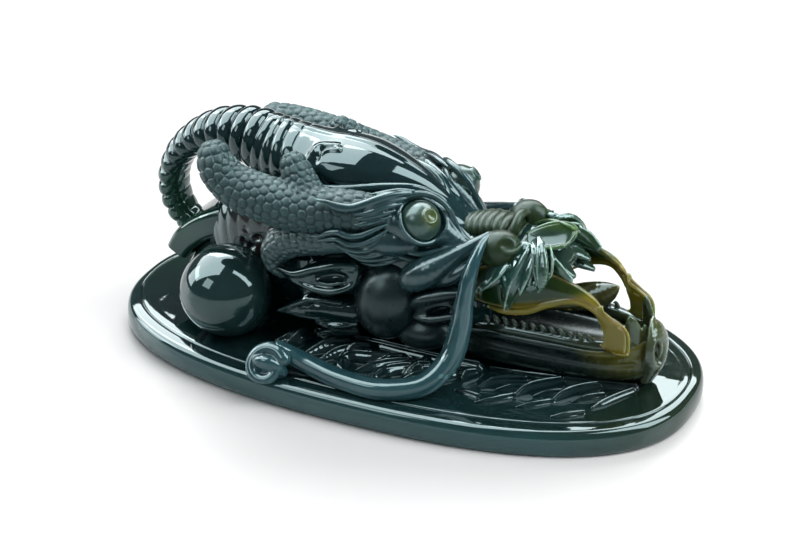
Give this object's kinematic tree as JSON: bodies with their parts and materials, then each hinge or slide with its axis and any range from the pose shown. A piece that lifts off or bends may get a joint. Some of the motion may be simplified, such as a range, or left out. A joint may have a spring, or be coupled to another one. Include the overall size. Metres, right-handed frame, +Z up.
{
  "type": "jade dragon head carving",
  "caption": "Dark green jade dragon head on an oval slab, with scaled horns, an open mouth, a pearl, and a ribbed curl whose eye takes a hanging cord.",
  "frame": {"origin": "middle of the slab's flat underside", "axes": "+X towards the dragon's chin, +Z up out of the slab, the dragon's right side at -Y"},
  "size_m": [0.068, 0.035, 0.0262],
  "materials": {
    "jade_polished": "polished dark teal-green jadeite",
    "jade_frosted": "frosted jadeite, left matt after carving",
    "jade_olive": "polished olive to amber jadeite, thin and translucent"
  },
  "bodies": {
    "root": {"base_slab": "jade_polished", "chin_curl": "jade_polished", "crown": "jade_polished", "hanging_hook": "jade_polished", "left_beard": "jade_polished", "left_cheek": "jade_polished", "left_cheek_fin": "jade_polished", "left_ear": "jade_polished", "left_eyeball": "jade_frosted", "left_eyelid": "jade_polished", "left_fang": "jade_olive", "left_front_frill": "jade_polished", "left_horn": "jade_frosted", "left_jaw_muscle": "jade_polished", "left_jowl": "jade_polished", "left_lower_brow": "jade_polished", "left_lower_teeth": "jade_olive", "left_mane": "jade_polished", "left_mouth_corner": "jade_polished", "left_nostril": "jade_polished", "left_rear_frill": "jade_polished", "left_scaled_lobe": "jade_frosted", "left_upper_brow": "jade_polished", "left_upper_lip": "jade_olive", "left_upper_teeth": "jade_polished", "left_whisker": "jade_polished", "left_whisker_curl": "jade_polished", "lower_jaw": "jade_polished", "nose_bridge": "jade_polished", "nose_leaf": "jade_polished", "pearl": "jade_polished", "right_beard": "jade_polished", "right_cheek": "jade_polished", "right_cheek_fin": "jade_polished", "right_ear": "jade_polished", "right_eyeball": "jade_frosted", "right_eyelid": "jade_polished", "right_fang": "jade_olive", "right_front_frill": "jade_polished", "right_horn": "jade_frosted", "right_jaw_muscle": "jade_polished", "right_jowl": "jade_polished", "right_lower_brow": "jade_polished", "right_lower_teeth": "jade_olive", "right_mane": "jade_polished", "right_mouth_corner": "jade_polished", "right_nostril": "jade_polished", "right_rear_frill": "jade_polished", "right_scaled_lobe": "jade_frosted", "right_upper_brow": "jade_polished", "right_upper_lip": "jade_olive", "right_upper_teeth": "jade_polished", "right_whisker": "jade_polished", "right_whisker_curl": "jade_polished", "skull": "jade_polished", "snout": "jade_polished", "tail_scroll": "jade_polished", "tongue": "jade_olive"}
  },
  "joints": []
}
